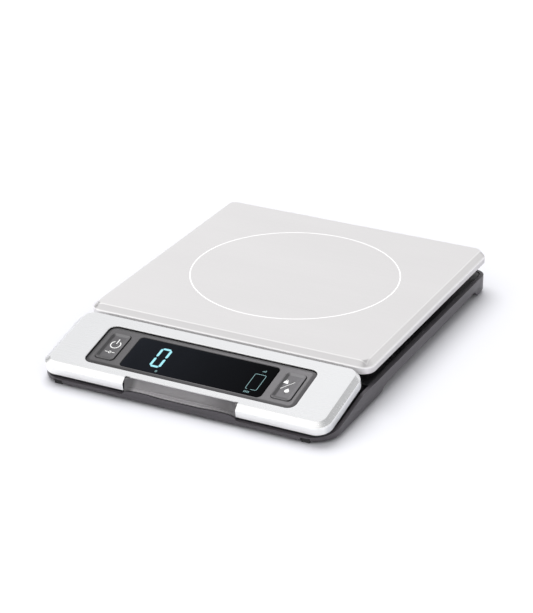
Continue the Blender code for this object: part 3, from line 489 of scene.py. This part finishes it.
BY_SLOT = {
    "brushed_steel": STEEL_HEAD,
    "plated_steel": PLATED,
    "machined_aluminium": ALUMINIUM,
    "panel_plastic": PANEL,
    "key_plastic": KEY,
    "smoked_lens": LENS,
    "circuit_board": circuit_board().material,
    "cell_jacket": cell_jacket().material,
}
for name, tint, rough, grain in (
    ("base_plastic", (0.066, 0.060, 0.068), 0.40, 2600.0),
    ("dark_plastic", (0.012, 0.012, 0.014), 0.30, 2600.0),
    ("pale_plastic", (0.55, 0.54, 0.51), 0.48, 2600.0),
    ("white_silicone", (0.78, 0.77, 0.74), 0.55, 900.0),
    ("cable_jacket", (0.42, 0.42, 0.43), 0.48, 1800.0),
    ("red_wire", (0.42, 0.015, 0.012), 0.42, 1800.0),
    ("black_rubber", (0.018, 0.018, 0.018), 0.78, 1500.0),
):
    BY_SLOT[name] = moulded_plastic(name, colour(*tint), rough, grain=grain).material
for node, obj in NODES.items():
    obj.data.materials.clear()
    obj.data.materials.append(BY_SLOT[SLOT_OF[node]])

# Mesh helpers ------------------------------------------------------------------------------------


def ring(x0, x1, y0, y1, radius, z, arc=8):
    """A rounded rectangle's points, anticlockwise seen from above."""
    points = []
    radius = max(radius, 0.0001)
    for cx, cy, start in (
        (x1 - radius, y0 + radius, -90),
        (x1 - radius, y1 - radius, 0),
        (x0 + radius, y1 - radius, 90),
        (x0 + radius, y0 + radius, 180),
    ):
        for i in range(arc + 1):
            angle = math.radians(start + 90.0 * i / arc)
            points.append((cx + radius * math.cos(angle), cy + radius * math.sin(angle), z))
    return points


def fillet(path, radii, steps=4):
    """A 2-D path with its inner corners rounded."""
    result = [Vector(path[0])]
    for i in range(1, len(path) - 1):
        before, here, after = (Vector(path[i + k]) for k in (-1, 0, 1))
        to_before = (before - here).normalized()
        to_after = (after - here).normalized()
        radius = radii[i - 1]
        if radius <= 0.0:
            result.append(here)
            continue
        half = to_before.angle(to_after) / 2
        reach = radius / math.tan(half)
        centre = here + (to_before + to_after).normalized() * radius / math.sin(half)
        first = here + to_before * reach - centre
        last = here + to_after * reach - centre
        for k in range(steps + 1):
            t = k / steps
            way = first.lerp(last, t).normalized()
            result.append(centre + way * radius)
    result.append(Vector(path[-1]))
    return result


def loft(bm, rings, caps=False, close=False):
    """Skins closed rings with equal counts; caps fills both ends, close joins them together."""
    loops = [[bm.verts.new(p) for p in points] for points in rings]
    pairs = list(zip(loops, loops[1:]))
    if close:
        pairs.append((loops[-1], loops[0]))
    for a, b in pairs:
        count = len(a)
        for i in range(count):
            j = (i + 1) % count
            bm.faces.new((a[i], a[j], b[j], b[i]))
    if caps:
        bm.faces.new(loops[0][::-1])
        bm.faces.new(loops[-1])


def finish_mesh(name, bm, matrix=None, smooth=True, angle=SHARP):
    """The bmesh as a mesh, normals outward and, where smooth, shaded smooth up to an angle."""
    if matrix is not None:
        bmesh.ops.transform(bm, matrix=matrix, verts=bm.verts)
    bmesh.ops.recalc_face_normals(bm, faces=bm.faces)
    mesh = bpy.data.meshes.new(name)
    bm.to_mesh(mesh)
    bm.free()
    if smooth:
        mesh.shade_smooth()
        mesh.set_sharp_from_angle(angle=math.radians(angle))
    return mesh


def piece(name, mesh, material, body, slot, *nodes):
    """A new object that rides on a body, and stands for CAD nodes where they are named."""
    obj = bpy.data.objects.new(name, mesh)
    bpy.context.scene.collection.objects.link(obj)
    mesh.materials.clear()
    mesh.materials.append(material)
    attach(obj, body)
    if nodes:
        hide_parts(*nodes)
    return obj


def temporary(mesh):
    """An object that lasts as long as a cut."""
    obj = bpy.data.objects.new("temporary", mesh)
    bpy.context.scene.collection.objects.link(obj)
    return obj


def subtract(mesh, *cutter_meshes):
    """The mesh with the cutters taken away."""
    target = temporary(mesh)
    others = [temporary(cutter) for cutter in cutter_meshes]
    for other in others:
        modifier = target.modifiers.new("cut", "BOOLEAN")
        modifier.operation = "DIFFERENCE"
        modifier.solver = "EXACT"
        modifier.object = other
    graph = bpy.context.evaluated_depsgraph_get()
    result = bpy.data.meshes.new_from_object(target.evaluated_get(graph))
    for obj in (target, *others):
        bpy.data.objects.remove(obj)
    result.set_sharp_from_angle(angle=math.radians(SHARP))
    return result


def refine(node, width, segments=2, angle=28.0, adjust=None):
    """The CAD node's shape, made again with its flats merged and its edges eased."""
    bm = bmesh.new()
    bm.from_mesh(NODES[node].data)
    bmesh.ops.remove_doubles(bm, verts=bm.verts, dist=1e-6)
    if adjust is not None:
        for vert in bm.verts:
            adjust(vert.co)
    bmesh.ops.dissolve_limit(bm, angle_limit=math.radians(0.5), verts=bm.verts, edges=bm.edges)
    mesh = finish_mesh(f"{node}_eased", bm, angle=angle)
    slot = SLOT_OF[node]
    obj = piece(f"{node}_eased", mesh, BY_SLOT[slot], BODY_OF[node], slot, node)
    bevel = obj.modifiers.new("eased", "BEVEL")
    bevel.width = width
    bevel.segments = segments
    bevel.limit_method = "ANGLE"
    bevel.angle_limit = math.radians(angle)
    bevel.use_clamp_overlap = True
    bevel.harden_normals = True


# Platform ----------------------------------------------------------------------------------------


def make_platform():
    """The pressed steel tray: a flat top, a chamfer and a short wall, all of one sheet."""
    low, high = PLATFORM_LOW, PLATFORM_HIGH
    corner, run, bottom = 0.009, PLATFORM_RUN, low.z

    def place(i, z):
        return ring(low.x + i, high.x - i, low.y + i, high.y - i, corner - i, z, arc=12)

    outer = fillet(
        [(SHEET, bottom), (0.0, bottom), (0.0, TOP - run), (run, TOP), (run + 0.004, TOP)],
        [0.00035, 0.0009, 0.0007],
        steps=6,
    )
    inner = fillet(
        [
            (run + 0.004, TOP - SHEET),
            (run + 0.0003, TOP - SHEET),
            (SHEET, TOP - run - 0.0003),
            (SHEET, bottom),
        ],
        [0.0004, 0.0005],
    )
    bm = bmesh.new()
    loft(bm, [place(i, z) for i, z in inner[:-1] + outer], caps=True)
    mesh = finish_mesh("platform_cover", bm)
    piece("platform_cover", mesh, STEEL_PLATFORM, "platform", "brushed_steel", "platform_tray")


# Display head ------------------------------------------------------------------------------------


def head_box(low, high):
    """A box between two corners in the head's plane."""
    low, high = Vector(low), Vector(high)
    bm = bmesh.new()
    scale = Matrix.Diagonal((*(high - low), 1.0))
    bmesh.ops.create_cube(bm, size=1.0, matrix=Matrix.Translation((low + high) / 2) @ scale)
    return finish_mesh("box", bm, HEAD, smooth=False)


def make_bezel():
    """The pressed steel cover, with a window, a rear chamfer and a notch for the finger recess."""
    half, back, front = 0.09955, -0.0054, -0.06423
    corner, run, drop, rim = 0.010, 0.00387, 0.0025, -0.0078

    def place(inset, z):
        rear = inset * 0.34 if inset < run + 0.003 else inset - run * 0.66
        x, y0, y1 = half - inset, front + inset, back - rear
        return ring(-x, x, y0, y1, corner - inset, z, arc=12)

    def window(grow, z):
        x, y0, y1 = WINDOW_X + grow, WINDOW_FRONT - grow, WINDOW_REAR + grow
        return ring(-x, x, y0, y1, 0.0055 + grow, z, arc=12)

    lip = fillet([(0.0, -SHEET), (0.0, 0.0), (0.002, 0.0)], [0.00035], steps=4)
    outer = fillet(
        [(run + 0.004, 0.0), (run, 0.0), (0.0, -drop), (0.0, rim), (SHEET, rim)],
        [0.0008, 0.0009, 0.0003],
        steps=6,
    )
    inner = fillet(
        [(SHEET, rim), (SHEET, -drop - 0.0003), (run + 0.0002, -SHEET), (run + 0.004, -SHEET)],
        [0.0005, 0.0005],
    )
    rings = [window(g, z) for g, z in lip]
    rings += [place(i, z) for i, z in outer]
    rings += [place(i, z) for i, z in inner[1:]]
    bm = bmesh.new()
    loft(bm, rings, close=True)
    mesh = finish_mesh("bezel", bm, HEAD)
    notch = head_box((-NOTCH_X, front - 0.005, -0.02), (NOTCH_X, front + run + 0.0015, 0.01))
    mesh = subtract(mesh, notch)
    piece("head_cover", mesh, STEEL_HEAD, "display_head", "brushed_steel", "head_bezel")


def make_panel():
    """The grey insert: a convex shoulder all round, then a flat face with three openings."""
    x1, y0, y1 = WINDOW_X - PANEL_GAP, WINDOW_FRONT + PANEL_GAP, WINDOW_REAR - PANEL_GAP
    face = -0.00035
    path = fillet(
        [(0.0, -0.0021), (0.0, face - 0.0009), (0.0024, face), (0.0046, face)],
        [0.0003, 0.0045],
        steps=6,
    )

    def place(inset, z):
        x = x1 - inset
        return ring(-x, x, y0 + inset, y1 - inset, PANEL_CORNER - inset, z, arc=10)

    bm = bmesh.new()
    loft(bm, [place(i, z) for i, z in path], caps=True)
    mesh = finish_mesh("panel", bm, HEAD)
    openings = [((-0.0494, -0.0507), (0.0494, -0.0198), 0.003)]
    for x in (-KEY_X, KEY_X):
        openings.append(((x - 0.0069, -0.0483), (x + 0.0069, -0.0218), 0.0026))
    sides = fillet([(0.0, -0.01), (0.0, face - 0.0003), (-0.0003, face + 0.0001)], [0.0])
    cutters = []
    for low, high, radius in openings:
        bm = bmesh.new()
        rings = [
            ring(low[0] + i, high[0] - i, low[1] + i, high[1] - i, radius - i, z, arc=6)
            for i, z in sides
        ]
        loft(bm, rings, caps=True)
        cutters.append(finish_mesh("opening", bm, HEAD, smooth=False))
    mesh = subtract(mesh, *cutters)
    piece("insert_face", mesh, PANEL, "display_head", "panel_plastic", "insert_panel")


def between(profile, x):
    """The height of a profile of (x, z) points at x, held level past its ends."""
    for (x0, z0), (x1, z1) in zip(profile, profile[1:]):
        if x0 <= x <= x1:
            return z0 + (z1 - z0) * (x - x0) / (x1 - x0)
    return profile[0][1] if x < profile[0][0] else profile[-1][1]


def squash_rim(height):
    return height if height < RIM_KNEE else RIM_KNEE + (height - RIM_KNEE) * RIM_SQUASH


def make_scoop(stations=78, steps=14):
    """The finger recess: a hollow ramp with ends that curl forward, over a skirt along the rim."""
    half = 0.0389
    front, skirt, back, floor, top = -0.1297, -0.1284, -0.1209, 0.0080, 0.0133
    bm = bmesh.new()
    sections = []
    for i in range(stations + 1):
        x = -half + 2 * half * i / stations
        curl = max(0.0, (abs(x) - 0.0285) / (half - 0.0285)) ** 1.7
        lip = squash_rim(between(RIM_PROFILE, abs(x))) + 0.0003
        upper = Vector((-0.1214 + (front + 0.0006 + 0.1214) * curl, top))
        elbow = Vector((-0.1236 + (front + 0.0004 + 0.1236) * curl, lip + 0.0014))
        lower = Vector((front, lip + 0.0006))
        path = [Vector((front, lip))]
        for k in range(steps + 1):
            t = k / steps
            path.append(lower * (1 - t) ** 2 + elbow * 2 * t * (1 - t) + upper * t * t)
        path += [(back, top), (back, floor), (skirt, floor), (skirt, lip)]
        sections.append([(x, y, z) for y, z in path])
    loft(bm, sections, caps=True)
    mesh = finish_mesh("recess", bm, angle=40.0)
    piece("finger_recess", mesh, SCOOP, "display_head", "panel_plastic", "finger_scoop")


def make_lens():
    """The black window over the readout, with a slightly rounded edge."""
    x, y0, y1 = 0.0491, -0.0504, -0.0201
    path = fillet([(0.0, -0.0020), (0.0, LENS_FACE), (0.001, LENS_FACE)], [0.0002], steps=3)
    rings = [ring(-x + i, x - i, y0 + i, y1 - i, 0.0027 - i, z, arc=6) for i, z in path]
    bm = bmesh.new()
    loft(bm, rings, caps=True)
    mesh = finish_mesh("lens", bm, HEAD)
    piece("readout_window", mesh, LENS, "display_head", "smoked_lens", "display_lens")


def make_key(name, side, node, body):
    """A dished key cap: a narrow rim, then a slope all round down to a slightly hollow face."""
    path = fillet(
        [(0.0, -0.0022), (0.0, 0.0003), *KEY_DISH], [0.00018, 0.0004, 0.0030, 0.0], steps=6
    )
    rings = []
    for inset, z in path:
        x, half_x, half_y = side * KEY_X, KEY_HALF_X - inset, KEY_HALF_Y - inset
        radius = max(0.0024 - inset * 0.7, 0.0002)
        rings.append(
            ring(x - half_x, x + half_x, KEY_Y - half_y, KEY_Y + half_y, radius, z, arc=6)
        )
    bm = bmesh.new()
    loft(bm, rings, caps=True)
    mesh = finish_mesh(name, bm, HEAD, angle=50.0)
    piece(name, mesh, KEY, body, "key_plastic", node)


# Lit segments and printed marks ------------------------------------------------------------------
# Their places are x, to the right, and s, the distance from the head's rear edge toward the front.


def key_surface(x, s):
    """How high the dished face of a key stands at a place in the head's plane."""
    inset = min(KEY_HALF_X - abs(abs(x) - KEY_X), KEY_HALF_Y - abs(s + KEY_Y))
    for (x0, z0), (x1, z1) in zip(KEY_DISH, KEY_DISH[1:]):
        if inset <= x1:
            return z0 + (z1 - z0) * max(0.0, inset - x0) / (x1 - x0)
    return KEY_DISH[-1][1]


def lens_surface(x, s):
    return LENS_FACE


def lay(name, shapes, surface, thick, material, body, slot):
    """Marks of one thickness on a surface of the head; a shape is an outline of (x, s) points."""
    bm = bmesh.new()
    for shape in shapes:
        low = [bm.verts.new((x, -s, surface(x, s))) for x, s in shape]
        high = [bm.verts.new((x, -s, surface(x, s) + thick)) for x, s in shape]
        bm.faces.new(low[::-1])
        bm.faces.new(high)
        for i in range(len(shape)):
            j = (i + 1) % len(shape)
            bm.faces.new((low[i], low[j], high[j], high[i]))
    piece(name, finish_mesh(name, bm, HEAD, smooth=False), material, body, slot)


def bar(x0, s0, x1, s1, width, point=0.0):
    """A straight stroke; point is how far its ends taper."""
    start, end = Vector((x0, s0)), Vector((x1, s1))
    along = (end - start).normalized()
    side = Vector((-along.y, along.x)) * width / 2
    if point <= 0.0:
        return [start + side, start - side, end - side, end + side]
    inner_start, inner_end = start + along * point, end - along * point
    return [start, inner_start - side, inner_end - side, end, inner_end + side, inner_start + side]


def arc_stroke(x, s, radius_x, radius_s, width, start, end, steps):
    """Part of an oval line, between two angles in degrees."""
    outer, inner = [], []
    for i in range(steps + 1):
        angle = math.radians(start + (end - start) * i / steps)
        c, d = math.cos(angle), math.sin(angle)
        outer.append((x + (radius_x + width / 2) * c, s + (radius_s + width / 2) * d))
        inner.append((x + (radius_x - width / 2) * c, s + (radius_s - width / 2) * d))
    return outer + inner[::-1]


def oval(x, s, radius_x, radius_s, width, steps):
    """A closed oval line, as two halves."""
    halves = ((0.0, 180.0), (180.0, 360.0))
    return [arc_stroke(x, s, radius_x, radius_s, width, *half, steps) for half in halves]


def make_readout():
    """A seven-segment zero, and a bracket outline with a dot and small bars near it."""
    x0, x1, s0, s1, width, gap = -0.0303, -0.0240, 0.0265, 0.0440, 0.00165, 0.00020
    middle = (s0 + s1) / 2
    point = width / 2
    shapes = [
        bar(x0 + gap, s0, x1 - gap, s0, width, point),
        bar(x0 + gap, s1, x1 - gap, s1, width, point),
    ]
    for x in (x0, x1):
        shapes.append(bar(x, s0 + gap, x, middle - 0.0005, width, point))
        shapes.append(bar(x, middle + 0.0005, x, s1 - gap, width, point))
    lay("lit_zero", shapes, lens_surface, LENS_PRINT, LIT, "display_head", "smoked_lens")
    x0, x1, s0, s1, width, bend = 0.0365, 0.0440, 0.0298, 0.0449, 0.00034, 0.0007
    shapes = [
        bar(x0 + bend, s0, x1 - bend, s0, width),
        bar(x0, s0 + bend, x0, s1 - bend, width),
        bar(x1, s0 + bend, x1, s1 - bend, width),
        bar(x0 + bend, s1, x0 + 0.0014, s1, width),
        bar(x0 + 0.0036, s1, x1 - bend, s1, width),
        bar(x0 + bend, s0, x0, s0 + bend, width),
        bar(x1 - bend, s0, x1, s0 + bend, width),
        bar(x0 + bend, s1, x0, s1 - bend, width),
        bar(x1 - bend, s1, x1, s1 - bend, width),
        *oval(-0.0238, 0.0481, 0.00055, 0.0008, 0.00034, 12),
    ]
    for i, length in enumerate((0.0009, 0.0014, 0.0018)):
        x = 0.0400 + 0.0009 * i
        shapes.append(bar(x, 0.0270, x, 0.0270 - length, 0.00040))
    for i in range(4):
        x = 0.0372 + 0.0010 * i
        shapes.append(bar(x, 0.0468, x, 0.0484, 0.00045))
    lay("lit_icons", shapes, lens_surface, LENS_PRINT, LIT_DIM, "display_head", "smoked_lens")


def make_key_marks():
    """On the left a power ring over a small zero; on the right a weight, a slash and a drop."""
    x, s = -0.0612, 0.0326
    low = s + 0.0078
    shapes = [
        arc_stroke(x, s, 0.00325, 0.0034, 0.00062, -58.0, 238.0, 36),
        bar(x, s - 0.0057, x, s - 0.0010, 0.00060),
        *oval(x, low, 0.00075, 0.0010, 0.00042, 12),
        bar(x - 0.0034, low, x - 0.0015, low, 0.00050),
        bar(x + 0.0015, low, x + 0.0034, low, 0.00050),
    ]
    lay("power_and_zero_marks", shapes, key_surface, KEY_PRINT, PRINT, "zero_key", "key_plastic")
    x, s = 0.0582, 0.0313
    weight = ((-0.0016, 0.0014), (0.0016, 0.0014), (0.0010, -0.0009), (-0.0010, -0.0009))
    shapes = [
        bar(0.0573, 0.0382, 0.0634, 0.0299, 0.00034),
        [(x + dx, s + ds) for dx, ds in weight],
        *oval(x, s - 0.0014, 0.0006, 0.0006, 0.00036, 10),
    ]
    x, s = 0.0620, 0.0391
    drop = [(x, s - 0.0026)]
    for i in range(17):
        angle = math.radians(-28.0 + 236.0 * i / 16)
        drop.append((x + 0.0015 * math.cos(angle), s + 0.0015 * math.sin(angle)))
    shapes.append(drop)
    lay("unit_marks", shapes, key_surface, KEY_PRINT, PRINT, "unit_key", "key_plastic")


def make_ribbon(folds=13):
    """The folded flat cable, as it lies at rest."""
    start, end = -0.0425, -0.0768
    first, last = -0.0460, -0.0712
    low, high, half = 0.0078, 0.0106, 0.00011
    columns = [-0.008 + 0.001 * k for k in range(17)]
    pitch = (last - first) / (2 * folds)
    path = [(start, high), (first + 0.0004, high)]
    path += [(first + i * pitch, low if i % 2 else high) for i in range(1, 2 * folds)]
    path += [(last, high), (end, high)]
    rings = []
    for y, z in path:
        over = [(x, y, z + half) for x in columns]
        under = [(x, y, z - half) for x in columns[::-1]]
        rings.append(over + under)
    bm = bmesh.new()
    loft(bm, rings, caps=True)
    mesh = finish_mesh("folded_ribbon", bm, smooth=False)
    mesh.materials.append(RIBBON)
    obj = bpy.data.objects.new("folded_ribbon", mesh)
    bpy.context.scene.collection.objects.link(obj)
    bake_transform(obj)
    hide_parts("ribbon_cable")


make_platform()
make_bezel()
make_panel()
make_lens()
make_scoop()
make_key("power_zero_key", -1, "zero_button", "zero_key")
make_key("unit_change_key", 1, "unit_button", "unit_key")
make_readout()
make_key_marks()
make_ribbon()

# Everything else that shows, with eased edges ----------------------------------------------------


def soften_front(co):
    """Flattens the humps of the base's front rim and lifts its lower front edge off the floor."""
    if co.y < -0.1285 and abs(co.x) < RIM_PROFILE[-1][0]:
        co.z = squash_rim(co.z)
    if co.y < -0.1300 and co.z < 0.0012:
        co.z += 0.0007


refine("base_tub", 0.0004, 3, adjust=soften_front)
refine("base_deck", 0.0006, 3)
for node, width in (
    ("head_lower_shell", 0.0003),
    ("guide_rail_left", 0.0002),
    ("guide_rail_right", 0.0002),
    ("battery_door", 0.0002),
    ("weighing_frame", 0.0002),
    ("front_foot_left", 0.0003),
    ("front_foot_right", 0.0003),
    ("rear_foot_left", 0.0003),
    ("rear_foot_right", 0.0003),
    ("slide_arm_left", 0.00025),
    ("slide_arm_right", 0.00025),
):
    refine(node, width)

# Stage, light and camera -------------------------------------------------------------------------


def make_floor():
    """A plain pale floor, wide enough to fill a low view, just under the feet."""
    s = Shader("studio_floor")
    faint = s.remap(s.noise(s.coords(), 3.0, detail=2.0), 0.3, 0.7, 0.0, 1.0)
    s.set(
        Base_Color=s.mix(faint, colour(0.640, 0.642, 0.672), colour(0.650, 0.652, 0.682)),
        Roughness=0.7,
    )
    bm = bmesh.new()
    bmesh.ops.create_grid(bm, x_segments=8, y_segments=8, size=40.0)
    mesh = finish_mesh("floor", bm, Matrix.Translation((0, 0, -0.0002)))
    mesh.materials.append(s.material)
    floor = bpy.data.objects.new("floor", mesh)
    bpy.context.scene.collection.objects.link(floor)


def make_world():
    """A white tent: dimmer toward the top, right and rear and near the horizon.

    It has a dark band high on the right, and a dark patch at the left.
    """
    s = Shader("tent", world=True)
    bpy.context.scene.world = s.material
    place = s.add("ShaderNodeTexCoord").outputs["Generated"]
    axes = s.add("ShaderNodeSeparateXYZ")
    s.link(place, axes.inputs[0])
    x, y, z = axes.outputs

    def along(direction):
        dot = s.add("ShaderNodeVectorMath", operation="DOT_PRODUCT")
        dot.inputs[1].default_value = direction
        s.link(place, dot.inputs[0])
        return dot.outputs["Value"]

    level = s.math("ADD", along((-0.15, -0.0886, -0.283)), 1.131)
    height = s.math("ABSOLUTE", z)
    rear = s.remap(y, 0.70, 0.88, 0.12, 0.34, "SMOOTHSTEP")
    low = s.math("DIVIDE", height, rear)
    horizon = s.remap(low, 0.0, 1.0, 0.38, 1.0, "SMOOTHSTEP")
    near = s.remap(s.distance(x, 0.42), 0.10, 0.28, 1.0, 0.0, "SMOOTHSTEP")
    high = s.remap(z, 0.52, 0.70, 0.0, 0.42, "SMOOTHSTEP")
    band = s.math("SUBTRACT", 1.0, s.math("MULTIPLY", near, high))
    patch = s.remap(along((-0.897, 0.223, 0.382)), 0.950, 0.985, 1.0, 0.3, "SMOOTHSTEP")
    strength = s.math("MULTIPLY", level, horizon)
    gaps = s.math("MULTIPLY", band, patch)
    strength = s.math("MULTIPLY", strength, gaps)
    s.set(Strength=strength, Color=WHITE)


def add_sun(name, toward, strength, spread):
    """A broad far light; toward points from the object to it."""
    light = bpy.data.lights.new(name, "SUN")
    light.energy = strength
    light.angle = math.radians(spread)
    obj = bpy.data.objects.new(name, light)
    obj.rotation_euler = Vector(toward).to_track_quat("Z", "Y").to_euler()
    obj.visible_glossy = False
    bpy.context.scene.collection.objects.link(obj)


def make_camera():
    """The photograph's viewing angle."""
    data = bpy.data.cameras.new("camera")
    camera = bpy.data.objects.new("camera", data)
    bpy.context.scene.collection.objects.link(camera)
    right = Vector((0.894484, 0.447099, 0.001291)).normalized()
    back = Vector((0.404448, -0.810379, 0.423919)).normalized()
    up = back.cross(right).normalized()
    right = up.cross(back)
    matrix = Matrix((right, up, back)).transposed().to_4x4()
    matrix.translation = (0.57699, PLATFORM_Y - 1.19736, TOP + 0.59858)
    camera.matrix_world = matrix
    data.lens = 128.26
    data.clip_start = 0.01
    data.clip_end = 100.0
    bpy.context.scene.camera = camera


make_floor()
make_world()
add_sun("overhead_left", (-0.38, 0.42, 0.84), 2.9, 46.0)
make_camera()
bpy.context.scene.view_settings.view_transform = "Standard"

bpy.context.view_layer.update()
